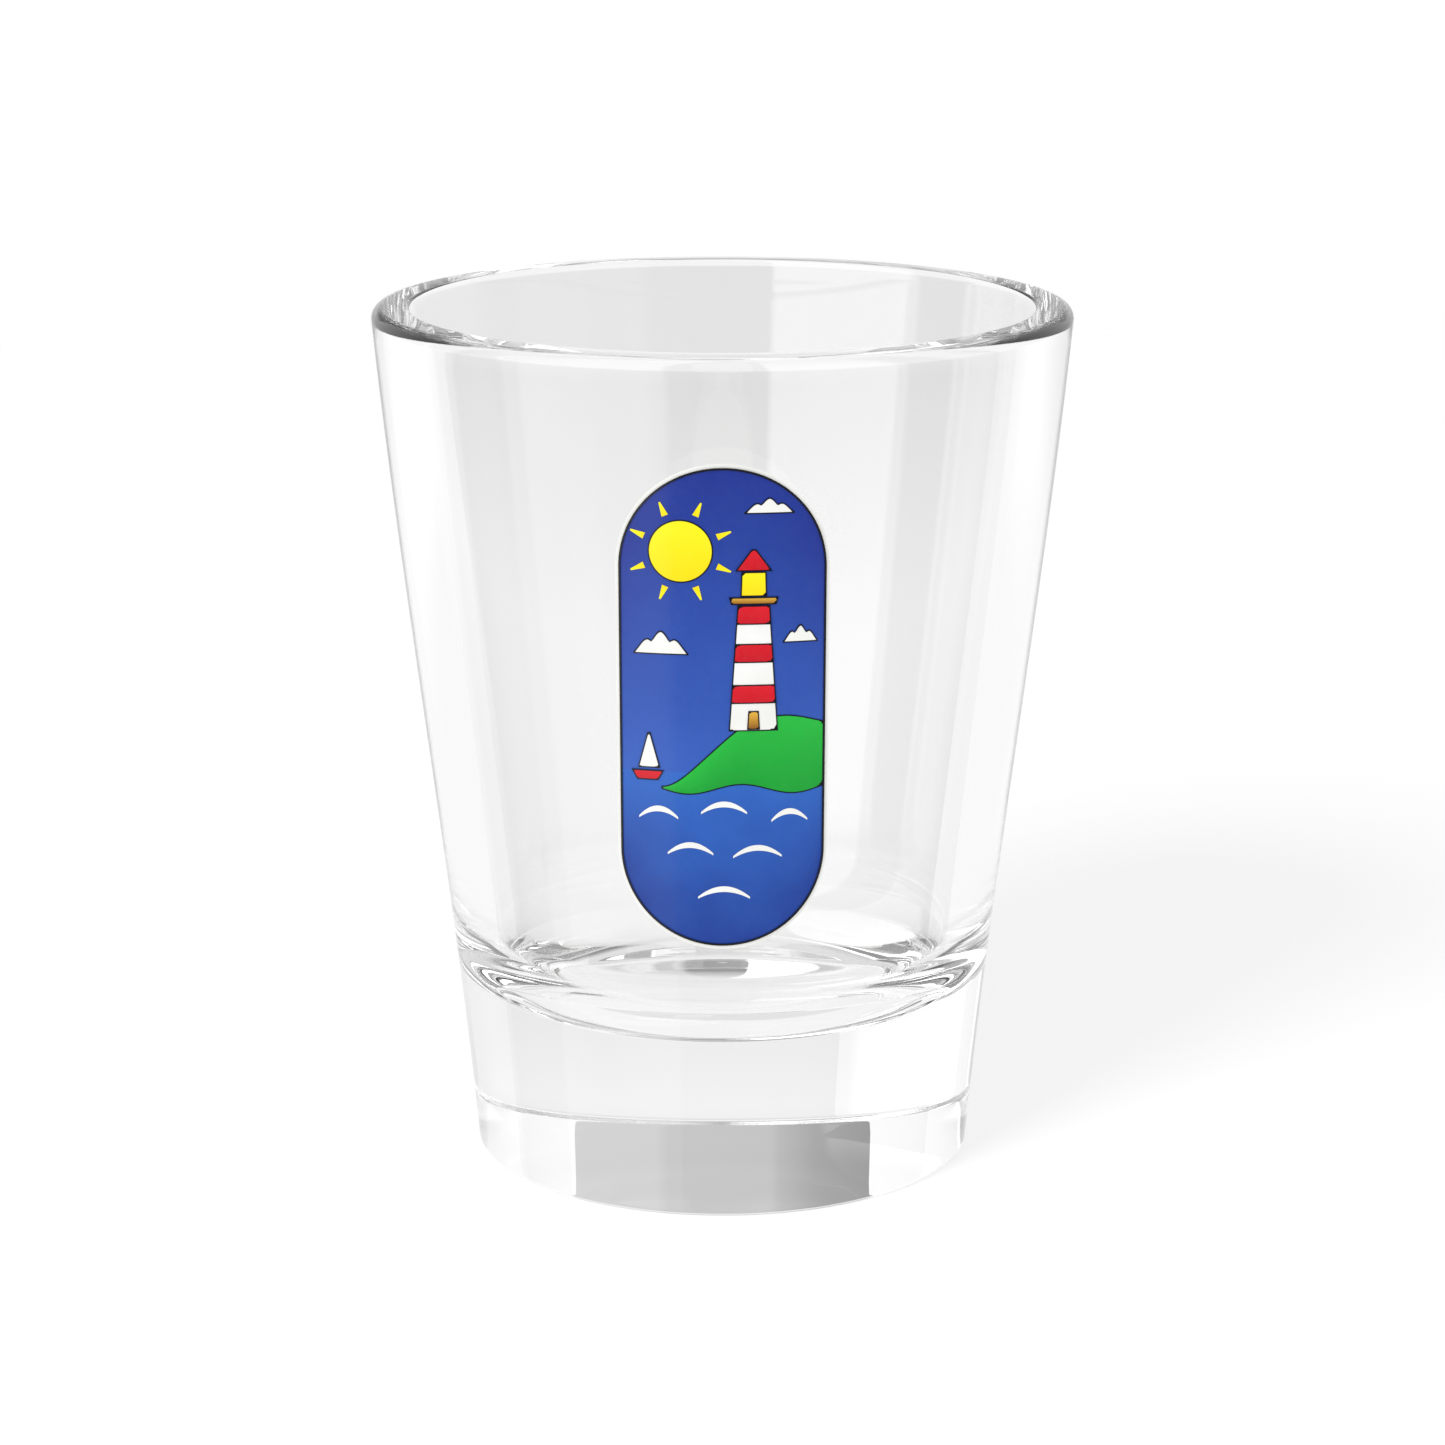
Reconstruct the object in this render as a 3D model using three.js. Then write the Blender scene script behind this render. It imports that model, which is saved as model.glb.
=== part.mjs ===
// A souvenir shot glass: one heavy pressed glass with a seaside picture fired onto its front wall.
// Millimetres, +Z up. The front faces -Y, and the origin is the middle of the flat foot.
// The picture is a stack of thin enamel films, each one a separate solid that follows the wall.

import * as THREE from "three";

// ---------- the glass ----------
const HEIGHT = 60;
const SEGMENTS = 72;

// The outer wall's radius rises from foot to rim along a cubic curve with evenly spaced heights.
const FOOT_RADIUS = 17.5;
const LOWER_PULL_RADIUS = 19.17;
const UPPER_PULL_RADIUS = 22.36;
const RIM_RADIUS = 24.1;

const WALL_AT_RIM = 2.65;
const WALL_AT_FLOOR = 3.1;
const FLOOR_HEIGHT = 11.35;
const FLOOR_FILLET = 7;
const FLOOR_DISH_ANGLE = (9 * Math.PI) / 180;
const RIM_OUTER_FILLET = 0.8;
const RIM_INNER_FILLET = 0.25;
const FOOT_FILLET = 0.4;

const WALL_STEPS = 8;
const FLOOR_FILLET_STEPS = 7;
const FLOOR_DISH_STEPS = 4;
const SMALL_FILLET_STEPS = 3;

// ---------- the picture ----------
const PICTURE_FOOT = 19.8;
const PICTURE_HEIGHT = 33.4;
const PICTURE_HALF_WIDTH = 7;
const FIELD_INSET = 0.32;
const BORDER_INSET = 0.25;
const BORDER_WIDTH = 0.14;
const HORIZON = 12.5;

// Each film stands off what it covers by a hair, and the films stack outwards in layers.
const FIRST_FILM_GAP = 0.04;
const FILM_THICKNESS = 0.05;
const FILM_STEP = 0.07;

const INK = {
  white: 0xf7f7f5,
  blue: 0x28409b,
  sea: 0x2c58b4,
  yellow: 0xfcf00e,
  green: 0x23b43c,
  red: 0xda1c2c,
  gold: 0xb97f2c,
  black: 0x1c1c22,
};

const model = new THREE.Group();

function mix(from, to, share) {
  return from + (to - from) * share;
}

function outerRadius(height) {
  const t = height / HEIGHT;
  const u = 1 - t;
  return u * u * u * FOOT_RADIUS
    + 3 * t * u * u * LOWER_PULL_RADIUS
    + 3 * t * t * u * UPPER_PULL_RADIUS
    + t * t * t * RIM_RADIUS;
}

function innerRadius(height) {
  const share = (height - FLOOR_HEIGHT) / (HEIGHT - FLOOR_HEIGHT);
  return outerRadius(height) - mix(WALL_AT_FLOOR, WALL_AT_RIM, share);
}

// The lean of a wall away from upright, in radians, at one height.
function lean(radiusAt, height) {
  const reach = 0.5;
  return Math.atan((radiusAt(height + reach) - radiusAt(height - reach)) / (2 * reach));
}

// Points of a round corner in the lathe's half-plane, from one angle to another.
function corner(centreRadius, centreHeight, radius, fromAngle, toAngle, steps) {
  const points = [];
  for (let i = 0; i <= steps; i += 1) {
    const angle = mix(fromAngle, toAngle, i / steps);
    points.push(new THREE.Vector2(
      centreRadius + radius * Math.cos(angle),
      centreHeight + radius * Math.sin(angle),
    ));
  }
  return points;
}

// Points strictly between two heights on a wall.
function wallPoints(radiusAt, fromHeight, toHeight) {
  const points = [];
  for (let i = 1; i < WALL_STEPS; i += 1) {
    const height = mix(fromHeight, toHeight, i / WALL_STEPS);
    points.push(new THREE.Vector2(radiusAt(height), height));
  }
  return points;
}

// A fillet's arc ends where the leaning wall is tangent to it, so the fillet's centre is set from there.
function footCorner() {
  const tilt = lean(outerRadius, FOOT_FILLET);
  const end = FOOT_FILLET * (1 - Math.sin(tilt));
  const centre = outerRadius(end) - FOOT_FILLET * Math.cos(tilt);
  return corner(centre, FOOT_FILLET, FOOT_FILLET, -Math.PI / 2, -tilt, SMALL_FILLET_STEPS);
}

function outerRimCorner() {
  const height = HEIGHT - RIM_OUTER_FILLET;
  const tilt = lean(outerRadius, height);
  const centre = outerRadius(height) - RIM_OUTER_FILLET * Math.cos(tilt);
  return corner(centre, height, RIM_OUTER_FILLET, -tilt, Math.PI / 2, SMALL_FILLET_STEPS + 1);
}

function innerRimCorner() {
  const height = HEIGHT - RIM_INNER_FILLET;
  const tilt = lean(innerRadius, height);
  const centre = innerRadius(height) + RIM_INNER_FILLET * Math.cos(tilt);
  return corner(centre, height, RIM_INNER_FILLET, Math.PI / 2, Math.PI - tilt, SMALL_FILLET_STEPS);
}

// The fillet from the inner wall down to where the dished floor begins.
function floorCorner() {
  const height = FLOOR_HEIGHT + FLOOR_FILLET;
  const tilt = lean(innerRadius, height);
  const end = FLOOR_HEIGHT + FLOOR_FILLET * (1 - Math.sin(tilt));
  const centre = innerRadius(end) - FLOOR_FILLET * Math.cos(tilt);
  return corner(centre, height, FLOOR_FILLET, -tilt, FLOOR_DISH_ANGLE - Math.PI / 2, FLOOR_FILLET_STEPS);
}

// The shallow round dish from the end of the fillet to the axis.
function floorDish(start) {
  const radius = start.x / Math.sin(FLOOR_DISH_ANGLE);
  const centreHeight = start.y + radius * Math.cos(FLOOR_DISH_ANGLE);
  const fromAngle = FLOOR_DISH_ANGLE - Math.PI / 2;
  const points = corner(0, centreHeight, radius, fromAngle, -Math.PI / 2, FLOOR_DISH_STEPS);
  points.at(-1).x = 0;
  return points.slice(1);
}

function glassGeometry() {
  const foot = footCorner();
  const outerRim = outerRimCorner();
  const innerRim = innerRimCorner();
  const floor = floorCorner();
  const profile = [
    new THREE.Vector2(0, 0),
    ...foot,
    ...wallPoints(outerRadius, foot.at(-1).y, outerRim[0].y),
    ...outerRim,
    ...innerRim,
    ...wallPoints(innerRadius, innerRim.at(-1).y, floor[0].y),
    ...floor,
    ...floorDish(floor.at(-1)),
  ];
  const turned = new THREE.LatheGeometry(profile, SEGMENTS);
  return turned.rotateX(Math.PI / 2);
}

// A picture point (across, up) on the front wall, lifted off the glass along its radius.
function onWall(across, up, lift) {
  const height = PICTURE_FOOT + up;
  const radius = outerRadius(height);
  const angle = across / radius;
  const reach = radius + lift;
  return [reach * Math.sin(angle), -reach * Math.cos(angle), height];
}

// A closed film: a grid of columns and rows, made twice, inside and outside, and joined round its edge.
// place(s, t) gives the picture point for s and t from 0 to 1. s runs to the right and t runs up.
// In a looped film the last row meets the first, so it has no ends.
function film(place, columns, rows, layer, looped = false) {
  const lowLift = FIRST_FILM_GAP + layer * FILM_STEP;
  const width = columns + 1;
  const rowCount = looped ? rows : rows + 1;
  const positions = [];
  for (const lift of [lowLift, lowLift + FILM_THICKNESS]) {
    for (let row = 0; row < rowCount; row += 1) {
      for (let column = 0; column <= columns; column += 1) {
        const [across, up] = place(column / columns, row / rows);
        positions.push(...onWall(across, up, lift));
      }
    }
  }
  const outside = width * rowCount;
  const at = (row, column) => (row % rowCount) * width + column;
  const indices = [];
  const quad = (a, b, c, d) => indices.push(a, b, c, a, c, d);
  const side = (a, b) => quad(a, b, b + outside, a + outside);
  for (let row = 0; row < rows; row += 1) {
    for (let column = 0; column < columns; column += 1) {
      const corners = [at(row, column), at(row, column + 1), at(row + 1, column + 1), at(row + 1, column)];
      quad(...corners.map((index) => index + outside));
      quad(...corners.reverse());
    }
    side(at(row + 1, 0), at(row, 0));
    side(at(row, columns), at(row + 1, columns));
  }
  for (let column = 0; column < columns && !looped; column += 1) {
    side(at(0, column), at(0, column + 1));
    side(at(rows, column + 1), at(rows, column));
  }
  const geometry = new THREE.BufferGeometry();
  geometry.setAttribute("position", new THREE.Float32BufferAttribute(positions, 3));
  geometry.setIndex(indices);
  return geometry;
}

// ---------- outlines: each returns a place(s, t) function ----------

// Columns from one side to the other, each running from low(across) up to high(across).
function betweenCurves(left, right, low, high) {
  return (s, t) => {
    const across = mix(left, right, s);
    return [across, mix(low(across), high(across), t)];
  };
}

// Columns that crowd towards both sides, so that a round end stays round.
function crowded(s) {
  return (1 - Math.cos(Math.PI * s)) / 2;
}

// An upright strip about a centre line, with its half width going from one value to another.
function taper(centre, low, high, lowHalfWidth, highHalfWidth) {
  return (s, t) => [
    centre + mix(-1, 1, s) * mix(lowHalfWidth, highHalfWidth, t),
    mix(low, high, t),
  ];
}

// A square grid pressed into a round one.
function disc(centreAcross, centreUp, radius) {
  return (s, t) => {
    const a = mix(-1, 1, s);
    const b = mix(-1, 1, t);
    return [
      centreAcross + radius * a * Math.sqrt(1 - (b * b) / 2),
      centreUp + radius * b * Math.sqrt(1 - (a * a) / 2),
    ];
  };
}

// The upright capsule that frames the picture, drawn in by an inset.
function capsuleEdge(inset, across) {
  const half = PICTURE_HALF_WIDTH - inset;
  return Math.sqrt(Math.max(0, half * half - across * across));
}

function capsuleLow(inset) {
  return (across) => PICTURE_HALF_WIDTH - capsuleEdge(inset, across);
}

function capsuleHigh(inset) {
  return (across) => PICTURE_HEIGHT - PICTURE_HALF_WIDTH + capsuleEdge(inset, across);
}

function capsulePart(inset, low, high) {
  const half = PICTURE_HALF_WIDTH - inset;
  const columns = betweenCurves(-half, half, low, high);
  return (s, t) => columns(crowded(s), t);
}

// A point on the capsule's outline: straight up, half round, straight down and half round.
function capsulePoint(inset, share) {
  const half = PICTURE_HALF_WIDTH - inset;
  const straight = PICTURE_HEIGHT - 2 * PICTURE_HALF_WIDTH;
  const round = Math.PI * half;
  const travel = share * 2 * (straight + round);
  const top = PICTURE_HEIGHT - PICTURE_HALF_WIDTH;
  if (travel <= straight) {
    return [half, PICTURE_HALF_WIDTH + travel];
  }
  if (travel <= straight + round) {
    const angle = (travel - straight) / half;
    return [half * Math.cos(angle), top + half * Math.sin(angle)];
  }
  if (travel <= 2 * straight + round) {
    return [-half, top - (travel - straight - round)];
  }
  const angle = Math.PI + (travel - 2 * straight - round) / half;
  return [half * Math.cos(angle), PICTURE_HALF_WIDTH + half * Math.sin(angle)];
}

// ---------- the picture's films ----------
const TOWER = { centre: 2, foot: 15.4, top: 24, footHalf: 1.6, topHalf: 1.05 };
const SUN = { across: -2.7, up: 27.6, radius: 2.1, rays: 8, rayFrom: 2.55, rayTo: 3.5, rayHalf: 0.22 };

function add(name, colour, geometry) {
  const material = new THREE.MeshStandardMaterial({ color: colour, roughness: 0.25, metalness: 0 });
  const mesh = new THREE.Mesh(geometry, material);
  mesh.name = name;
  model.add(mesh);
}

// Pieces of one kind are numbered from 1.
function addEach(name, colour, geometries) {
  geometries.forEach((geometry, index) => add(`${name}_${index + 1}`, colour, geometry));
}

function addGlass() {
  const material = new THREE.MeshStandardMaterial({
    color: 0xf2f6f6,
    roughness: 0.03,
    metalness: 0,
    transparent: true,
    opacity: 0.35,
  });
  const mesh = new THREE.Mesh(glassGeometry(), material);
  mesh.name = "glass_body";
  model.add(mesh);
}

function addFields() {
  const horizon = () => HORIZON;
  add("print_undercoat", INK.white, film(capsulePart(0, capsuleLow(0), capsuleHigh(0)), 20, 7, 0));
  add("print_sky", INK.blue, film(capsulePart(FIELD_INSET, horizon, capsuleHigh(FIELD_INSET)), 18, 5, 1));
  add("print_sea", INK.sea, film(capsulePart(FIELD_INSET, capsuleLow(FIELD_INSET), horizon), 18, 3, 1));
}

function addBorder() {
  const line = (s, t) => {
    const inner = capsulePoint(BORDER_INSET + BORDER_WIDTH, t);
    const outer = capsulePoint(BORDER_INSET, t);
    return [mix(inner[0], outer[0], s), mix(inner[1], outer[1], s)];
  };
  add("print_border", INK.black, film(line, 1, 80, 3, true));
}

function sunRay(angle) {
  return (s, t) => {
    const reach = mix(SUN.rayFrom, SUN.rayTo, t);
    const offset = mix(-1, 1, s) * SUN.rayHalf * mix(1, 0.25, t);
    return [
      SUN.across + reach * Math.cos(angle) + offset * Math.sin(angle),
      SUN.up + reach * Math.sin(angle) - offset * Math.cos(angle),
    ];
  };
}

function addSun() {
  add("print_sun", INK.yellow, film(disc(SUN.across, SUN.up, SUN.radius), 8, 8, 2));
  const rays = [];
  for (let i = 0; i < SUN.rays; i += 1) {
    rays.push(film(sunRay((2 * Math.PI * (i + 0.5)) / SUN.rays), 1, 1, 2));
  }
  addEach("print_sun_ray", INK.yellow, rays);
}

// A cloud has a flat foot and three round tops, the middle one highest.
function cloud(left, right, foot, height) {
  const thinnest = 0.12;
  const top = (across) => {
    const share = (across - left) / (right - left);
    const swell = Math.sin(Math.PI * share);
    const lobes = Math.abs(Math.sin(3 * Math.PI * share));
    return foot + thinnest + height * swell * mix(0.62, 1, lobes);
  };
  return betweenCurves(left, right, () => foot, top);
}

function addClouds() {
  const clouds = [cloud(-5.8, -2.2, 20.6, 1.5), cloud(3.9, 6.2, 21.4, 1.1), cloud(1.4, 4.6, 30.1, 0.95)];
  addEach("print_cloud", INK.white, clouds.map((place) => film(place, 18, 1, 2)));
}

function addHeadland() {
  const left = -4;
  const right = PICTURE_HALF_WIDTH - FIELD_INSET;
  const shore = (across) => 11.3 - 0.35 * Math.sin((across - left) * 0.9);
  const ridge = (across) => {
    const share = THREE.MathUtils.smoothstep(across, left, TOWER.centre);
    const swell = 0.35 * Math.sin((across - TOWER.centre) * 0.8);
    return 11.5 + share * (4.6 + swell);
  };
  add("print_headland", INK.green, film(betweenCurves(left, right, shore, ridge), 22, 2, 2));
}

// Half the tower's width at one height.
function towerHalf(up) {
  return mix(TOWER.footHalf, TOWER.topHalf, (up - TOWER.foot) / (TOWER.top - TOWER.foot));
}

function towerSlice(low, high) {
  return taper(TOWER.centre, low, high, towerHalf(low), towerHalf(high));
}

function addLighthouse() {
  const seam = 0.04;
  const galleryTop = TOWER.top + 0.55;
  const lampTop = galleryTop + 1.7;
  const roofTop = lampTop + 1.5;
  const bands = [17.3, 20.1, 22.7].map((low) => film(towerSlice(low, low + 1.3), 4, 1, 4));
  const gallery = taper(TOWER.centre, TOWER.top + seam, galleryTop, 1.45, 1.6);
  const lampRoom = taper(TOWER.centre, galleryTop + seam, lampTop, 0.85, 0.8);
  const roof = taper(TOWER.centre, lampTop + seam, roofTop, 1.2, 0.15);
  add("print_tower", INK.white, film(towerSlice(TOWER.foot, TOWER.top), 4, 3, 3));
  addEach("print_tower_band", INK.red, bands);
  add("print_door", INK.gold, film(taper(TOWER.centre, 15.5, 16.8, 0.42, 0.34), 2, 1, 4));
  add("print_gallery", INK.gold, film(gallery, 4, 1, 3));
  add("print_lamp_room", INK.yellow, film(lampRoom, 2, 1, 3));
  add("print_roof", INK.red, film(roof, 4, 2, 3));
}

// One wave crest: a low arch that thins towards both ends.
function crest(centre, up, halfWidth) {
  return (s, t) => {
    const share = mix(-1, 1, s);
    const arch = 0.5 * (1 - share * share);
    const thickness = 0.14 + 0.26 * (1 - share * share);
    return [centre + halfWidth * share, up + arch + t * thickness];
  };
}

function addCrests() {
  const crests = [
    crest(-4.2, 9.2, 1.3),
    crest(0.1, 9.6, 1.5),
    crest(4.4, 9.0, 1.2),
    crest(-2.1, 6.7, 1.5),
    crest(2.3, 6.5, 1.6),
    crest(0.1, 3.6, 1.7),
  ];
  addEach("print_crest", INK.white, crests.map((place) => film(place, 8, 1, 2)));
}

function addBoat() {
  const centre = -4.9;
  add("print_boat_hull", INK.red, film(taper(centre, 11.9, 12.6, 0.7, 1.1), 3, 1, 3));
  add("print_boat_sail", INK.white, film(taper(centre + 0.1, 12.75, 15.2, 0.75, 0.1), 2, 2, 3));
}

addGlass();
addFields();
addBorder();
addSun();
addClouds();
addHeadland();
addLighthouse();
addCrests();
addBoat();

export default model;
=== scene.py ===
"""A souvenir shot glass: a heavy pressed glass with a seaside picture in fired enamel on its front.

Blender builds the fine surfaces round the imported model. The glass and the picture are in millimetres
here and are turned into metres where a mesh is made. Bumps, the floor, the lamp and the camera are in
metres. Angles are in degrees where they are named values. The picture faces -Y.
"""

import math

import bpy
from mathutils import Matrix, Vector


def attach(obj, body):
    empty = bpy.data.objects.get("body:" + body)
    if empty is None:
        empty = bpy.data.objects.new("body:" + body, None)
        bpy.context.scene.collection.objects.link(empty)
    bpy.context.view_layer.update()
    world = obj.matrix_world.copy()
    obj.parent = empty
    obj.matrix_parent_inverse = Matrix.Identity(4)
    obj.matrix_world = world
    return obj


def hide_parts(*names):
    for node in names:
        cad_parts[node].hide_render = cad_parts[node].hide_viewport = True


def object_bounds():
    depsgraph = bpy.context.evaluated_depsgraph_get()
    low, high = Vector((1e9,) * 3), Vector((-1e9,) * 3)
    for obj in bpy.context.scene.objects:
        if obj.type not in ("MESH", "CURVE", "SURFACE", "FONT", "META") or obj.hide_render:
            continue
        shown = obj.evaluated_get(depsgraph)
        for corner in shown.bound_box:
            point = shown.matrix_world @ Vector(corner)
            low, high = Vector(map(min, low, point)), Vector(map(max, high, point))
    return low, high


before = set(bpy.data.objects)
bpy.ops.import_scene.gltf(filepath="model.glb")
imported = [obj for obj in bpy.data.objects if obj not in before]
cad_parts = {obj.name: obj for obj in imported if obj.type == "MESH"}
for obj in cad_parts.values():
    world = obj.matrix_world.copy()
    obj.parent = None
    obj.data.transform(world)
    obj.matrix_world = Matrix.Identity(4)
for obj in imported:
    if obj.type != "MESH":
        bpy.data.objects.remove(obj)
cad_low, cad_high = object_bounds()

MM = 0.001

# ---------- the glass ----------
HEIGHT = cad_high.z / MM
GLASS_SEGMENTS = 288

# The outer wall's radius rises from foot to rim along a cubic curve with evenly spaced heights.
FOOT_RADIUS = 17.5
LOWER_PULL_RADIUS = 19.17
UPPER_PULL_RADIUS = 22.36
RIM_RADIUS = 24.1

WALL_AT_RIM = 2.65
WALL_AT_FLOOR = 3.1
FLOOR_HEIGHT = 11.35
FLOOR_FILLET = 7
FLOOR_DISH_ANGLE = 9
RIM_OUTER_FILLET = 0.8
RIM_INNER_FILLET = 0.25
FOOT_FILLET = 0.4

# Rings across the flat underside, as shares of its radius.
UNDERSIDE_RINGS = (0.3, 0.6, 0.9)
WALL_STEPS = 60
FLOOR_FILLET_STEPS = 40
FLOOR_DISH_STEPS = 16
SMALL_FILLET_STEPS = 14

# ---------- the picture ----------
PICTURE_FOOT = 19.8
PICTURE_HEIGHT = 33.4
PICTURE_HALF_WIDTH = 7
FIELD_INSET = 0.32
BORDER_INSET = 0.25
BORDER_WIDTH = 0.14
HORIZON = 12.5

FIRST_FILM_GAP = 0.012
FILM_THICKNESS = 0.03
FILM_STEP = 0.036

TOWER_CENTRE = 2
TOWER_FOOT = 15.4
TOWER_TOP = 24
TOWER_FOOT_HALF = 1.6
TOWER_TOP_HALF = 1.05
BAND_FEET = (17.3, 20.1, 22.7)
BAND_HEIGHT = 1.3
DOOR_FOOT = 15.5
DOOR_TOP = 16.8
GALLERY_HEIGHT = 0.55
LAMP_ROOM_HEIGHT = 1.7
ROOF_HEIGHT = 1.5
SEAM = 0.04
# Half widths at the foot and at the top.
DOOR_HALVES = (0.42, 0.34)
GALLERY_HALVES = (1.45, 1.6)
LAMP_ROOM_HALVES = (0.85, 0.8)
ROOF_HALVES = (1.2, 0.15)
HULL_HALVES = (0.7, 1.1)
SAIL_HALVES = (0.75, 0.1)

SUN_ACROSS = -2.7
SUN_UP = 27.6
SUN_RADIUS = 2.1
SUN_RAYS = 8
RAY_FROM = 2.55
RAY_TO = 3.5
RAY_HALF = 0.22
RAY_TIP_SHARE = 0.25

# Each cloud's left side, right side, foot and height.
CLOUDS = (
    (-5.8, -2.2, 20.6, 1.5),
    (3.9, 6.2, 21.4, 1.1),
    (1.4, 4.6, 30.1, 0.95),
)
CLOUD_EDGE = 0.12
CLOUD_LOBES = 3
CLOUD_DIP_SHARE = 0.62

HEADLAND_TIP = -4
SHORE_HEIGHT = 11.3
SHORE_BEND = 0.9
TIP_HEIGHT = 11.5
HEADLAND_CLIMB = 4.6
RIDGE_BEND = 0.8
HEADLAND_SWELL = 0.35

# Each wave crest's middle, height and half width.
CRESTS = (
    (-4.2, 9.2, 1.3),
    (0.1, 9.6, 1.5),
    (4.4, 9.0, 1.2),
    (-2.1, 6.7, 1.5),
    (2.3, 6.5, 1.6),
    (0.1, 3.6, 1.7),
)
CREST_ARCH = 0.5
CREST_TIP_THICKNESS = 0.14
CREST_MIDDLE_GAIN = 0.26

BOAT_CENTRE = -4.9
HULL_FOOT = 11.9
HULL_TOP = 12.6
SAIL_OFFSET = 0.1
SAIL_FOOT = 12.75
SAIL_TOP = 15.2


def mix(start, end, share):
    return start + (end - start) * share


def smoothstep(value, low, high):
    share = min(1, max(0, (value - low) / (high - low)))
    return share * share * (3 - 2 * share)


# ---------- the glass's profile ----------


def outer_radius(height):
    t = height / HEIGHT
    u = 1 - t
    return (
        u ** 3 * FOOT_RADIUS
        + 3 * t * u * u * LOWER_PULL_RADIUS
        + 3 * t * t * u * UPPER_PULL_RADIUS
        + t ** 3 * RIM_RADIUS
    )


def inner_radius(height):
    share = (height - FLOOR_HEIGHT) / (HEIGHT - FLOOR_HEIGHT)
    return outer_radius(height) - mix(WALL_AT_FLOOR, WALL_AT_RIM, share)


def lean(radius_at, height):
    """The lean of a wall away from upright, in radians, at one height."""
    reach = 0.5
    return math.atan((radius_at(height + reach) - radius_at(height - reach)) / (2 * reach))


def corner(centre_radius, centre_height, radius, start, end, steps):
    """Points of a round corner in the half-plane of the profile, from one angle to another."""
    points = []
    for i in range(steps + 1):
        angle = mix(start, end, i / steps)
        points.append((centre_radius + radius * math.cos(angle), centre_height + radius * math.sin(angle)))
    return points


def wall_points(radius_at, start, end):
    """Points strictly between two heights on a wall."""
    heights = [mix(start, end, i / WALL_STEPS) for i in range(1, WALL_STEPS)]
    return [(radius_at(height), height) for height in heights]


def foot_corner():
    tilt = lean(outer_radius, FOOT_FILLET)
    end = FOOT_FILLET * (1 - math.sin(tilt))
    centre = outer_radius(end) - FOOT_FILLET * math.cos(tilt)
    return corner(centre, FOOT_FILLET, FOOT_FILLET, -math.pi / 2, -tilt, SMALL_FILLET_STEPS)


def outer_rim_corner():
    height = HEIGHT - RIM_OUTER_FILLET
    tilt = lean(outer_radius, height)
    centre = outer_radius(height) - RIM_OUTER_FILLET * math.cos(tilt)
    return corner(centre, height, RIM_OUTER_FILLET, -tilt, math.pi / 2, SMALL_FILLET_STEPS)


def inner_rim_corner():
    height = HEIGHT - RIM_INNER_FILLET
    tilt = lean(inner_radius, height)
    centre = inner_radius(height) + RIM_INNER_FILLET * math.cos(tilt)
    return corner(centre, height, RIM_INNER_FILLET, math.pi / 2, math.pi - tilt, SMALL_FILLET_STEPS)


def floor_corner():
    """The fillet from the inner wall down to where the dished floor begins."""
    height = FLOOR_HEIGHT + FLOOR_FILLET
    tilt = lean(inner_radius, height)
    end = FLOOR_HEIGHT + FLOOR_FILLET * (1 - math.sin(tilt))
    centre = inner_radius(end) - FLOOR_FILLET * math.cos(tilt)
    dish = math.radians(FLOOR_DISH_ANGLE)
    return corner(centre, height, FLOOR_FILLET, -tilt, dish - math.pi / 2, FLOOR_FILLET_STEPS)


def floor_dish(start):
    """The shallow round dish from the end of the fillet to just off the axis."""
    edge_radius, edge_height = start
    dish = math.radians(FLOOR_DISH_ANGLE)
    radius = edge_radius / math.sin(dish)
    centre_height = edge_height + radius * math.cos(dish)
    end = -math.pi / 2 + dish / FLOOR_DISH_STEPS
    return corner(0, centre_height, radius, dish - math.pi / 2, end, FLOOR_DISH_STEPS - 1)[1:]


def glass_profile():
    """Points from just off the axis under the foot, up the outside, and down the inside."""
    foot = foot_corner()
    outer_rim = outer_rim_corner()
    inner_rim = inner_rim_corner()
    floor = floor_corner()
    return (
        [(foot[0][0] * share, 0) for share in UNDERSIDE_RINGS]
        + foot
        + wall_points(outer_radius, foot[-1][1], outer_rim[0][1])
        + outer_rim
        + inner_rim
        + wall_points(inner_radius, inner_rim[-1][1], floor[0][1])
        + floor
        + floor_dish(floor[-1])
    )


# ---------- meshes ----------

SHARP_ANGLE = 40


def mesh_object(name, points, faces):
    """A smooth mesh object from points in millimetres, with its hard edges kept sharp."""
    mesh = bpy.data.meshes.new(name)
    mesh.from_pydata([[value * MM for value in point] for point in points], [], faces)
    mesh.validate()
    mesh.shade_smooth()
    mesh.set_sharp_from_angle(angle=math.radians(SHARP_ANGLE))
    made = bpy.data.objects.new(name, mesh)
    bpy.context.scene.collection.objects.link(made)
    return made


def turned(name, profile, segments):
    """Turns a profile about Z. Both ends are closed by a fan to a point on the axis."""
    points = []
    for radius, height in profile:
        for i in range(segments):
            angle = 2 * math.pi * i / segments
            points.append((radius * math.cos(angle), radius * math.sin(angle), height))
    faces = []
    for ring in range(len(profile) - 1):
        for i in range(segments):
            a = ring * segments + i
            b = ring * segments + (i + 1) % segments
            faces.append((a, b, b + segments, a + segments))
    last = (len(profile) - 1) * segments
    low_centre = len(points)
    points.append((0, 0, profile[0][1]))
    points.append((0, 0, profile[-1][1]))
    for i in range(segments):
        following = (i + 1) % segments
        faces.append((low_centre, following, i))
        faces.append((low_centre + 1, last + i, last + following))
    return mesh_object(name, points, faces)


def on_wall(across, up, lift):
    """A picture point on the front wall, lifted off the glass along its radius."""
    height = PICTURE_FOOT + up
    radius = outer_radius(height)
    angle = across / radius
    reach = radius + lift
    return (reach * math.sin(angle), -reach * math.cos(angle), height)


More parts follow.
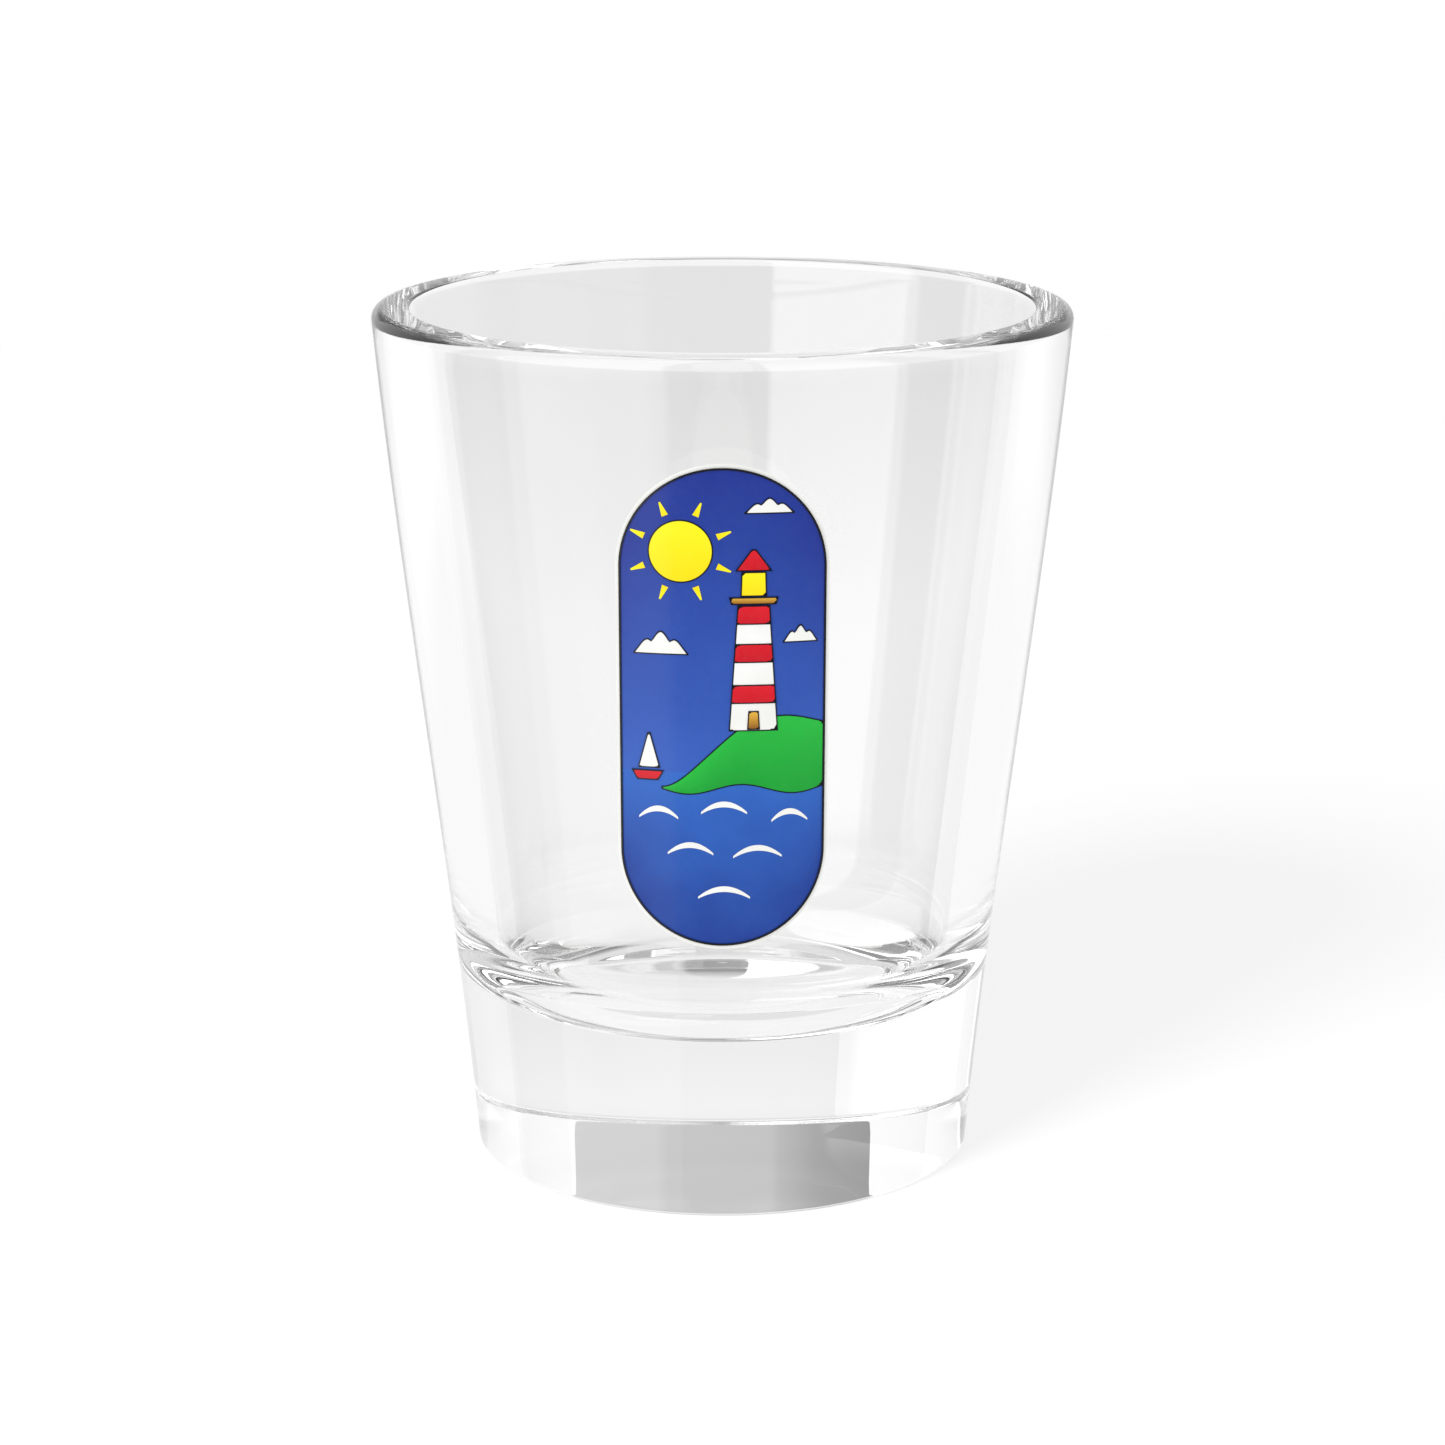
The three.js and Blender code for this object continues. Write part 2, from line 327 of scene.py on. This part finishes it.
def segment_distance(point, start, end):
    """How far a picture point lies from a straight piece of an outline."""
    along = (end[0] - start[0], end[1] - start[1])
    away = (point[0] - start[0], point[1] - start[1])
    length_squared = along[0] ** 2 + along[1] ** 2
    share = 0
    if length_squared > 0:
        share = min(1, max(0, (along[0] * away[0] + along[1] * away[1]) / length_squared))
    return math.hypot(away[0] - share * along[0], away[1] - share * along[1])


def edge_distances(place, columns, rows):
    """How far each point of a film's grid lies from the film's own outline, in millimetres."""
    across = [column / columns for column in range(columns + 1)]
    grid = [[place(s, row / rows) for s in across] for row in range(rows + 1)]
    right = [row[-1] for row in grid[1:]]
    left = [row[0] for row in grid[-2::-1]]
    outline = grid[0] + right + grid[-1][-2::-1] + left
    pieces = list(zip(outline, outline[1:]))
    return [min(segment_distance(point, *piece) for piece in pieces) for row in grid for point in row]


def add_values(mesh, name, values):
    """One number for each point of a mesh, which its material can read."""
    mesh.attributes.new(name, "FLOAT", "POINT").data.foreach_set("value", values)


def film(name, place, columns, rows, layer, looped=False):
    """A closed film on the wall. place(s, t) gives its picture point, for s and t from 0 to 1."""
    low_lift = FIRST_FILM_GAP + layer * FILM_STEP
    width = columns + 1
    row_count = rows if looped else rows + 1
    points = []
    for lift in (low_lift, low_lift + FILM_THICKNESS):
        for row in range(row_count):
            for column in range(width):
                across, up = place(column / columns, row / rows)
                points.append(on_wall(across, up, lift))
    outside = width * row_count
    faces = []

    def at(row, column):
        return row % row_count * width + column

    def side(a, b):
        faces.append((a, b, b + outside, a + outside))

    for row in range(rows):
        for column in range(columns):
            loop = (at(row, column), at(row, column + 1), at(row + 1, column + 1), at(row + 1, column))
            faces.append(tuple(index + outside for index in loop))
            faces.append(loop[::-1])
        side(at(row + 1, 0), at(row, 0))
        side(at(row, columns), at(row + 1, columns))
    if not looped:
        for column in range(columns):
            side(at(0, column), at(0, column + 1))
            side(at(rows, column + 1), at(rows, column))
    made = mesh_object(name, points, faces)
    add_values(made.data, "rise", [row / rows for row in range(row_count) for column in range(width)] * 2)
    return made


# ---------- outlines of the picture: each returns a place(s, t) function ----------


def between_curves(left, right, low, high):
    """Columns from one side to the other, each running from low(across) up to high(across)."""

    def place(s, t):
        across = mix(left, right, s)
        return across, mix(low(across), high(across), t)

    return place


def taper(centre, low, high, low_half, high_half):
    """An upright strip about a centre line, with its half width going from one value to another."""

    def place(s, t):
        return centre + mix(-1, 1, s) * mix(low_half, high_half, t), mix(low, high, t)

    return place


def disc(centre_across, centre_up, radius):
    """A square grid pressed into a round one."""

    def place(s, t):
        a = mix(-1, 1, s)
        b = mix(-1, 1, t)
        return (
            centre_across + radius * a * math.sqrt(1 - b * b / 2),
            centre_up + radius * b * math.sqrt(1 - a * a / 2),
        )

    return place


def capsule_edge(inset, across):
    half = PICTURE_HALF_WIDTH - inset
    return math.sqrt(max(0, half * half - across * across))


def capsule_low(inset):
    return lambda across: PICTURE_HALF_WIDTH - capsule_edge(inset, across)


def capsule_high(inset):
    return lambda across: PICTURE_HEIGHT - PICTURE_HALF_WIDTH + capsule_edge(inset, across)


def capsule_part(inset, low, high):
    """Part of the capsule, with columns that crowd towards both sides so that its ends stay round."""
    half = PICTURE_HALF_WIDTH - inset
    columns = between_curves(-half, half, low, high)
    return lambda s, t: columns((1 - math.cos(math.pi * s)) / 2, t)


def capsule_point(inset, share):
    """A point on the capsule's outline: straight up, half round, straight down and half round."""
    half = PICTURE_HALF_WIDTH - inset
    straight = PICTURE_HEIGHT - 2 * PICTURE_HALF_WIDTH
    arc = math.pi * half
    travel = share * 2 * (straight + arc)
    top = PICTURE_HEIGHT - PICTURE_HALF_WIDTH
    if travel <= straight:
        return half, PICTURE_HALF_WIDTH + travel
    if travel <= straight + arc:
        angle = (travel - straight) / half
        return half * math.cos(angle), top + half * math.sin(angle)
    if travel <= 2 * straight + arc:
        return -half, top - (travel - straight - arc)
    angle = math.pi + (travel - 2 * straight - arc) / half
    return half * math.cos(angle), PICTURE_HALF_WIDTH + half * math.sin(angle)


def border_line(s, t):
    inner = capsule_point(BORDER_INSET + BORDER_WIDTH, t)
    outer = capsule_point(BORDER_INSET, t)
    return mix(inner[0], outer[0], s), mix(inner[1], outer[1], s)


def sun_ray(angle):
    def place(s, t):
        reach = mix(RAY_FROM, RAY_TO, t)
        offset = mix(-1, 1, s) * RAY_HALF * mix(1, RAY_TIP_SHARE, t)
        return (
            SUN_ACROSS + reach * math.cos(angle) + offset * math.sin(angle),
            SUN_UP + reach * math.sin(angle) - offset * math.cos(angle),
        )

    return place


def cloud(left, right, foot, height):
    """A cloud has a flat foot and three round tops, the middle one highest."""

    def top(across):
        share = (across - left) / (right - left)
        swell = math.sin(math.pi * share)
        lobes = abs(math.sin(CLOUD_LOBES * math.pi * share))
        return foot + CLOUD_EDGE + height * swell * mix(CLOUD_DIP_SHARE, 1, lobes)

    return between_curves(left, right, lambda across: foot, top)


def headland():
    right = PICTURE_HALF_WIDTH - FIELD_INSET

    def shore(across):
        return SHORE_HEIGHT - HEADLAND_SWELL * math.sin((across - HEADLAND_TIP) * SHORE_BEND)

    def ridge(across):
        share = smoothstep(across, HEADLAND_TIP, TOWER_CENTRE)
        swell = HEADLAND_SWELL * math.sin((across - TOWER_CENTRE) * RIDGE_BEND)
        return TIP_HEIGHT + share * (HEADLAND_CLIMB + swell)

    return between_curves(HEADLAND_TIP, right, shore, ridge)


def tower_half(up):
    return mix(TOWER_FOOT_HALF, TOWER_TOP_HALF, (up - TOWER_FOOT) / (TOWER_TOP - TOWER_FOOT))


def tower_slice(low, high):
    return taper(TOWER_CENTRE, low, high, tower_half(low), tower_half(high))


def crest(centre, up, half_width):
    """One wave crest: a low arch that thins towards both ends."""

    def place(s, t):
        share = mix(-1, 1, s)
        arch = CREST_ARCH * (1 - share * share)
        thickness = CREST_TIP_THICKNESS + CREST_MIDDLE_GAIN * (1 - share * share)
        return centre + half_width * share, up + arch + t * thickness

    return place


# ---------- materials ----------

GLASS_IOR = 1.5
# Noise scales are in features per metre.
GLASS_WAVE_SCALE = 90
GLASS_WAVE_HEIGHT = 0.00002
GLASS_WAVE_STRENGTH = 0.15
INK_DRIFT_SCALE = 260
INK_GRAIN_SCALE = 2600
INK_GRAIN_HEIGHT = 0.00001
INK_GRAIN_STRENGTH = 0.3
INK_SMOOTHEST = 0.12
INK_ROUGHEST = 0.22


class Nodes:
    """A short way to add nodes to a material or world and to link them."""

    def __init__(self, tree):
        self.tree = tree
        tree.nodes.clear()

    def add(self, kind, **settings):
        node = self.tree.nodes.new(kind)
        for name, value in settings.items():
            setattr(node, name, value)
        return node

    def link(self, source, target):
        self.tree.links.new(source, target)

    def math(self, operation, first, second=0.0):
        """A maths node. first and second are sockets or numbers."""
        node = self.add("ShaderNodeMath", operation=operation)
        for socket, value in zip(node.inputs, (first, second)):
            if isinstance(value, (int, float)):
                socket.default_value = value
            else:
                self.link(value, socket)
        return node.outputs["Value"]

    def noise(self, vector, scale, detail=2.0):
        node = self.add("ShaderNodeTexNoise")
        node.inputs["Scale"].default_value = scale
        node.inputs["Detail"].default_value = detail
        self.link(vector, node.inputs["Vector"])
        return node.outputs["Fac"]

    def spread(self, noise, low, high):
        """Maps 0.3 to 0.7, where most of a noise lies, to low and high."""
        return self.ranged(noise, 0.3, 0.7, low, high)

    def ranged(self, value, low, high, low_result=0.0, high_result=1.0):
        """Maps a range of a value onto another, and holds it at the ends."""
        node = self.add("ShaderNodeMapRange")
        settings = (("From Min", low), ("From Max", high), ("To Min", low_result), ("To Max", high_result))
        for name, number in settings:
            node.inputs[name].default_value = number
        self.link(value, node.inputs["Value"])
        return node.outputs["Result"]

    def blend(self, share, first, second):
        """A mix of two colours. Each is a socket, a grey level or a colour."""
        node = self.add("ShaderNodeMix", data_type="RGBA")
        self.link(share, node.inputs["Factor"])
        for socket, value in ((node.inputs["A"], first), (node.inputs["B"], second)):
            if isinstance(value, (int, float)):
                socket.default_value = (value, value, value, 1)
            elif isinstance(value, tuple):
                socket.default_value = (*value, 1)
            else:
                self.link(value, socket)
        return node.outputs["Result"]

    def bump(self, height, distance, strength):
        node = self.add("ShaderNodeBump")
        node.inputs["Distance"].default_value = distance
        node.inputs["Strength"].default_value = strength
        self.link(height, node.inputs["Height"])
        return node.outputs["Normal"]


def new_material(name):
    made = bpy.data.materials.new(name)
    made.use_nodes = True
    return made, Nodes(made.node_tree)


def clear_glass():
    """Fire-polished pressed glass: clear, with the faint waviness that the mould leaves."""
    made, nodes = new_material("clear_glass")
    surface = nodes.add("ShaderNodeBsdfPrincipled")
    surface.inputs["Base Color"].default_value = (1, 1, 1, 1)
    surface.inputs["Roughness"].default_value = 0
    surface.inputs["IOR"].default_value = GLASS_IOR
    surface.inputs["Transmission Weight"].default_value = 1
    place = nodes.add("ShaderNodeTexCoord").outputs["Object"]
    waves = nodes.noise(place, GLASS_WAVE_SCALE, 1)
    nodes.link(nodes.bump(waves, GLASS_WAVE_HEIGHT, GLASS_WAVE_STRENGTH), surface.inputs["Normal"])
    output = nodes.add("ShaderNodeOutputMaterial")
    nodes.link(surface.outputs["BSDF"], output.inputs["Surface"])
    return made


def enamel(name, low, high, grading):
    """Glossy fired enamel with a slightly pebbled skin, and a fine dark line round each outlined shape.

    Two colours drift into each other. grading is how far that follows the height within a shape.
    """
    made, nodes = new_material(name)
    surface = nodes.add("ShaderNodeBsdfPrincipled")
    surface.inputs["IOR"].default_value = GLASS_IOR
    place = nodes.add("ShaderNodeTexCoord").outputs["Object"]
    drift = nodes.spread(nodes.noise(place, INK_DRIFT_SCALE, 3), 0, 1 - grading)
    rise = nodes.add("ShaderNodeAttribute", attribute_name="rise").outputs["Fac"]
    graded = nodes.math("MULTIPLY", rise, grading)
    colour = nodes.blend(nodes.math("ADD", drift, graded), low, high)
    edge = nodes.add("ShaderNodeAttribute", attribute_name="edge").outputs["Fac"]
    line = nodes.ranged(edge, OUTLINE_WIDTH * 0.7, OUTLINE_WIDTH, 1, 0)
    nodes.link(nodes.blend(line, colour, OUTLINE_COLOUR), surface.inputs["Base Color"])
    grain = nodes.noise(place, INK_GRAIN_SCALE, 2)
    nodes.link(nodes.spread(grain, INK_SMOOTHEST, INK_ROUGHEST), surface.inputs["Roughness"])
    nodes.link(nodes.bump(grain, INK_GRAIN_HEIGHT, INK_GRAIN_STRENGTH), surface.inputs["Normal"])
    output = nodes.add("ShaderNodeOutputMaterial")
    nodes.link(surface.outputs["BSDF"], output.inputs["Surface"])
    return made


def srgb(red, green, blue):
    """A display colour as the linear colour that shaders take."""

    def linear(value):
        return value / 12.92 if value <= 0.04045 else ((value + 0.055) / 1.055) ** 2.4

    return linear(red), linear(green), linear(blue)


OUTLINE_WIDTH = 0.1
OUTLINE_COLOUR = srgb(0.07, 0.07, 0.1)
# Each ink's colour, the colour that it drifts into, and how far the drift follows the height.
INK_COLOURS = {
    "enamel_white": (srgb(0.96, 0.96, 0.95), srgb(0.92, 0.92, 0.9), 0),
    "enamel_blue": (srgb(0.22, 0.38, 0.74), srgb(0.13, 0.2, 0.56), 0.9),
    "enamel_sea_blue": (srgb(0.11, 0.22, 0.56), srgb(0.2, 0.42, 0.78), 0.8),
    "enamel_yellow": (srgb(0.988, 0.87, 0.055), srgb(0.99, 0.95, 0.1), 0.8),
    "enamel_green": (srgb(0.09, 0.6, 0.2), srgb(0.16, 0.74, 0.26), 0.8),
    "enamel_red": (srgb(0.78, 0.09, 0.15), srgb(0.89, 0.12, 0.18), 0.6),
    "enamel_gold": (srgb(0.5, 0.26, 0.09), srgb(0.93, 0.73, 0.27), 0.9),
    "enamel_black": (srgb(0.11, 0.11, 0.133), srgb(0.09, 0.09, 0.11), 0),
}
INKS = {name: enamel(name, *colours) for name, colours in INK_COLOURS.items()}


# ---------- pieces ----------


def finish_piece(piece, slot, material, *nodes):
    piece.data.materials.append(material)
    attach(piece, "root")
    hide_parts(*nodes)


def add_glass():
    glass = turned("glass", glass_profile(), GLASS_SEGMENTS)
    finish_piece(glass, "clear_glass", clear_glass(), "glass_body")


def add_film(node, ink, place, columns, rows, layer, looped=False, outlined=False):
    """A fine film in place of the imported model's film of the same name."""
    piece = film(node.replace("print_", "ink_"), place, columns, rows, layer, looped)
    inside = [1] * (len(piece.data.vertices) // 2)
    add_values(piece.data, "edge", (edge_distances(place, columns, rows) if outlined else inside) * 2)
    finish_piece(piece, ink, INKS[ink], node)


def add_films(name, ink, places, columns, rows, layer, outlined=False):
    for number, place in enumerate(places, 1):
        add_film(f"{name}_{number}", ink, place, columns, rows, layer, outlined=outlined)


def add_fields():
    def horizon(across):
        return HORIZON

    sky = capsule_part(FIELD_INSET, horizon, capsule_high(FIELD_INSET))
    sea = capsule_part(FIELD_INSET, capsule_low(FIELD_INSET), horizon)
    add_film("print_undercoat", "enamel_white", capsule_part(0, capsule_low(0), capsule_high(0)), 72, 48, 0)
    add_film("print_sky", "enamel_blue", sky, 72, 30, 1)
    add_film("print_sea", "enamel_sea_blue", sea, 72, 20, 1)
    add_film("print_border", "enamel_black", border_line, 1, 320, 3, looped=True)


def add_sun():
    rays = [sun_ray(2 * math.pi * (i + 0.5) / SUN_RAYS) for i in range(SUN_RAYS)]
    add_film("print_sun", "enamel_yellow", disc(SUN_ACROSS, SUN_UP, SUN_RADIUS), 24, 24, 2, outlined=True)
    add_films("print_sun_ray", "enamel_yellow", rays, 2, 4, 2)


def add_clouds():
    clouds = [cloud(*sizes) for sizes in CLOUDS]
    add_films("print_cloud", "enamel_white", clouds, 72, 3, 2, outlined=True)


def add_lighthouse():
    gallery_top = TOWER_TOP + GALLERY_HEIGHT
    lamp_top = gallery_top + LAMP_ROOM_HEIGHT
    roof_top = lamp_top + ROOF_HEIGHT
    bands = [tower_slice(low, low + BAND_HEIGHT) for low in BAND_FEET]
    gallery = taper(TOWER_CENTRE, TOWER_TOP + SEAM, gallery_top, *GALLERY_HALVES)
    lamp_room = taper(TOWER_CENTRE, gallery_top + SEAM, lamp_top, *LAMP_ROOM_HALVES)
    roof = taper(TOWER_CENTRE, lamp_top + SEAM, roof_top, *ROOF_HALVES)
    door = taper(TOWER_CENTRE, DOOR_FOOT, DOOR_TOP, *DOOR_HALVES)
    add_film("print_headland", "enamel_green", headland(), 72, 10, 2, outlined=True)
    add_film("print_tower", "enamel_white", tower_slice(TOWER_FOOT, TOWER_TOP), 12, 20, 3, outlined=True)
    add_films("print_tower_band", "enamel_red", bands, 12, 4, 4, outlined=True)
    add_film("print_door", "enamel_gold", door, 6, 6, 4, outlined=True)
    add_film("print_gallery", "enamel_gold", gallery, 12, 4, 3, outlined=True)
    add_film("print_lamp_room", "enamel_yellow", lamp_room, 6, 6, 3, outlined=True)
    add_film("print_roof", "enamel_red", roof, 10, 8, 3, outlined=True)


def add_sea_details():
    crests = [crest(*sizes) for sizes in CRESTS]
    hull = taper(BOAT_CENTRE, HULL_FOOT, HULL_TOP, *HULL_HALVES)
    sail = taper(BOAT_CENTRE + SAIL_OFFSET, SAIL_FOOT, SAIL_TOP, *SAIL_HALVES)
    add_films("print_crest", "enamel_white", crests, 32, 2, 2)
    add_film("print_boat_hull", "enamel_red", hull, 12, 4, 3, outlined=True)
    add_film("print_boat_sail", "enamel_white", sail, 8, 10, 3, outlined=True)


# ---------- the studio ----------

# Brightness of the studio round the glass, by direction in degrees: 0 is in front, 90 is to the right.
STUDIO = (
    (-180, 1.5),
    (-109, 1.5),
    (-108, 0.35),
    (-78, 0.35),
    (-76, 2.2),
    (-19.5, 2.2),
    (-19, 0.3),
    (26, 0.3),
    (32, 0.65),
    (96, 0.65),
    (110, 0.9),
    (180, 0.9),
)
# The panels fade towards the floor, from full strength at one angle to a small share at a lower one.
PANEL_LOW_START = -6
PANEL_LOW_END = -24
PANEL_LOW_SHARE = 0.3
# Behind the glass the backdrop's brightness goes by the angle above or below the level.
BACKDROP_HALF_WIDTH = 68
BACKDROP = (
    (-90, 0.95),
    (-14, 0.95),
    (-10, 0.81),
    (-4, 0.81),
    (6, 1.05),
    (90, 1.05),
)
# Just below the level it is brighter beyond so many degrees to each side, with a step on the left.
SIDE_START = 17.6
SIDE_END = 50
SIDE_GAIN = 0.12
LEFT_STEP_GAIN = 0.08
SIDE_BAND = (
    (-90, 0),
    (-18, 0),
    (-14, 1),
    (-6, 1),
    (0, 0),
    (90, 0),
)
# A grey screen stands in front of the backdrop, in panels that go by the angle to the side.
SCREEN_BOTTOM = 8
SCREEN_SOFTNESS = 3
SCREEN_HALF_WIDTH = 26.5
SCREEN = (
    (-26.5, 0.34),
    (-22, 0.36),
    (-15, 0.41),
    (-9, 0.52),
    (-7.5, 0.585),
    (8.5, 0.6),
    (10.5, 0.66),
    (26.5, 0.67),
)
# Steeply below the level the glass sees a pale floor.
FLOOR_SEEN = 0.8
FLOOR_SEEN_START = -28
FLOOR_SEEN_FULL = -42
# The even light that matt surfaces get from all round, and the floor's own grey level.
FLOOR_LIGHT = 0.95
FLOOR_WHITE = 0.95
# The floor is whole up to the first distance, in metres, and gone at the second.
FLOOR_FADE_START = 0.15
FLOOR_FADE_END = 0.45
# The glass needs this many bounces, because light runs along inside its wall.
LIGHT_BOUNCES = 32


def level_ramp(nodes, value, stops, span):
    """Brightness by an angle in degrees. span is the angle at each end of the ramp."""
    ramp = nodes.add("ShaderNodeValToRGB")
    nodes.link(nodes.ranged(value, math.radians(-span), math.radians(span)), ramp.inputs["Fac"])
    made = ramp.color_ramp.elements
    made.remove(made[1])
    for number, (angle, level) in enumerate(stops):
        place = (angle + span) / (2 * span)
        stop = made.new(place) if number else made[0]
        stop.position = place
        stop.color = (level, level, level, 1)
    return ramp.outputs["Color"]


def studio_world():
    """White to the camera, banded panels in the glass, and even light for everything else."""
    world = bpy.data.worlds.new("studio")
    world.use_nodes = True
    world.cycles.sampling_method = "NONE"
    bpy.context.scene.world = world
    nodes = Nodes(world.node_tree)
    direction = nodes.add("ShaderNodeSeparateXYZ")
    nodes.link(nodes.add("ShaderNodeTexCoord").outputs["Generated"], direction.inputs["Vector"])
    x, y, z = (direction.outputs[axis] for axis in "XYZ")
    around = nodes.math("ARCTAN2", x, nodes.math("MULTIPLY", y, -1))
    aside = nodes.math("ARCTAN2", x, y)
    rise = nodes.math("ARCSINE", z)

    panels = level_ramp(nodes, around, STUDIO, 180)
    low_start = math.radians(PANEL_LOW_START)
    low_end = math.radians(PANEL_LOW_END)
    panels = nodes.blend(nodes.ranged(rise, low_end, low_start, PANEL_LOW_SHARE, 1), 0, panels)
    steep = nodes.ranged(rise, math.radians(FLOOR_SEEN_FULL), math.radians(FLOOR_SEEN_START), 1, 0)
    panels = nodes.blend(steep, panels, FLOOR_SEEN)

    backdrop = level_ramp(nodes, rise, BACKDROP, 90)
    outwards = nodes.math("ABSOLUTE", aside)
    side_start = math.radians(SIDE_START)
    gain = nodes.ranged(outwards, side_start, math.radians(SIDE_END), 0, SIDE_GAIN)
    step = nodes.math("MULTIPLY", nodes.math("LESS_THAN", aside, -side_start), LEFT_STEP_GAIN)
    gain = nodes.math("MULTIPLY", nodes.math("ADD", gain, step), level_ramp(nodes, rise, SIDE_BAND, 90))
    backdrop = nodes.blend(gain, backdrop, 2)

    tone = level_ramp(nodes, aside, SCREEN, SCREEN_HALF_WIDTH)
    across = nodes.math("LESS_THAN", outwards, math.radians(SCREEN_HALF_WIDTH))
    clear = math.radians(SCREEN_BOTTOM - SCREEN_SOFTNESS)
    full = math.radians(SCREEN_BOTTOM + SCREEN_SOFTNESS)
    bottom = nodes.ranged(rise, clear, full)
    backdrop = nodes.blend(nodes.math("MULTIPLY", across, bottom), backdrop, tone)
    behind = nodes.math("LESS_THAN", outwards, math.radians(BACKDROP_HALF_WIDTH))
    studio = nodes.blend(behind, panels, backdrop)

    path = nodes.add("ShaderNodeLightPath")
    scattered = nodes.math("MINIMUM", path.outputs["Diffuse Depth"], 1)
    even = nodes.blend(scattered, studio, FLOOR_LIGHT)
    background = nodes.add("ShaderNodeBackground")
    nodes.link(nodes.blend(path.outputs["Is Camera Ray"], even, 1), background.inputs["Color"])
    output = nodes.add("ShaderNodeOutputWorld")
    nodes.link(background.outputs["Background"], output.inputs["Surface"])


def allow_bounces():
    cycles = bpy.context.scene.cycles
    cycles.max_bounces = LIGHT_BOUNCES
    cycles.glossy_bounces = LIGHT_BOUNCES
    cycles.transmission_bounces = LIGHT_BOUNCES
    cycles.blur_glossy = 0


def studio_floor():
    """A plain white floor that fades out. It takes the shadow, but the glass doesn't show it."""
    half = FLOOR_FADE_END
    corners = [(-half, -half, 0), (half, -half, 0), (half, half, 0), (-half, half, 0)]
    mesh = bpy.data.meshes.new("floor")
    mesh.from_pydata(corners, [], [(0, 1, 2, 3)])
    floor = bpy.data.objects.new("floor", mesh)
    bpy.context.scene.collection.objects.link(floor)
    made, nodes = new_material("floor_white")
    surface = nodes.add("ShaderNodeBsdfDiffuse")
    surface.inputs["Color"].default_value = (FLOOR_WHITE, FLOOR_WHITE, FLOOR_WHITE, 1)
    clear = nodes.add("ShaderNodeBsdfTransparent")
    length = nodes.add("ShaderNodeVectorMath", operation="LENGTH")
    nodes.link(nodes.add("ShaderNodeTexCoord").outputs["Object"], length.inputs[0])
    faded = nodes.add("ShaderNodeMixShader")
    nodes.link(nodes.ranged(length.outputs["Value"], FLOOR_FADE_START, FLOOR_FADE_END), faded.inputs["Fac"])
    nodes.link(surface.outputs["BSDF"], faded.inputs[1])
    nodes.link(clear.outputs["BSDF"], faded.inputs[2])
    output = nodes.add("ShaderNodeOutputMaterial")
    nodes.link(faded.outputs["Shader"], output.inputs["Surface"])
    mesh.materials.append(made)
    floor.visible_glossy = False
    floor.visible_transmission = False


KEY_PLACE = (-0.62, -0.85, 0.85)
KEY_WIDTH = 0.5
KEY_WATTS = 4.5


def key_light():
    """A large soft lamp at the front left, which gives the shadow to the right."""
    data = bpy.data.lights.new("key", "AREA")
    data.shape = "DISK"
    data.size = KEY_WIDTH
    data.energy = KEY_WATTS
    lamp = bpy.data.objects.new("key", data)
    lamp.location = KEY_PLACE
    lamp.rotation_euler = (-lamp.location).to_track_quat("-Z", "Y").to_euler()
    lamp.visible_glossy = False
    lamp.visible_transmission = False
    bpy.context.scene.collection.objects.link(lamp)


# The lens and the sensor are in millimetres.
CAMERA_LENS = 100
SENSOR_WIDTH = 36
CAMERA_BACK = 0.27377
CAMERA_HEIGHT = 0.10057
CAMERA_PITCH = 14.402


def camera():
    data = bpy.data.cameras.new("camera")
    data.lens = CAMERA_LENS
    data.sensor_width = SENSOR_WIDTH
    data.clip_start = 0.01
    view = bpy.data.objects.new("camera", data)
    view.location = (0, -CAMERA_BACK, CAMERA_HEIGHT)
    view.rotation_euler = (math.radians(90 - CAMERA_PITCH), 0, 0)
    bpy.context.scene.collection.objects.link(view)
    bpy.context.scene.camera = view


bpy.context.scene.view_settings.view_transform = "Standard"
add_glass()
add_fields()
add_sun()
add_clouds()
add_lighthouse()
add_sea_details()
allow_bounces()
studio_world()
studio_floor()
key_light()
camera()
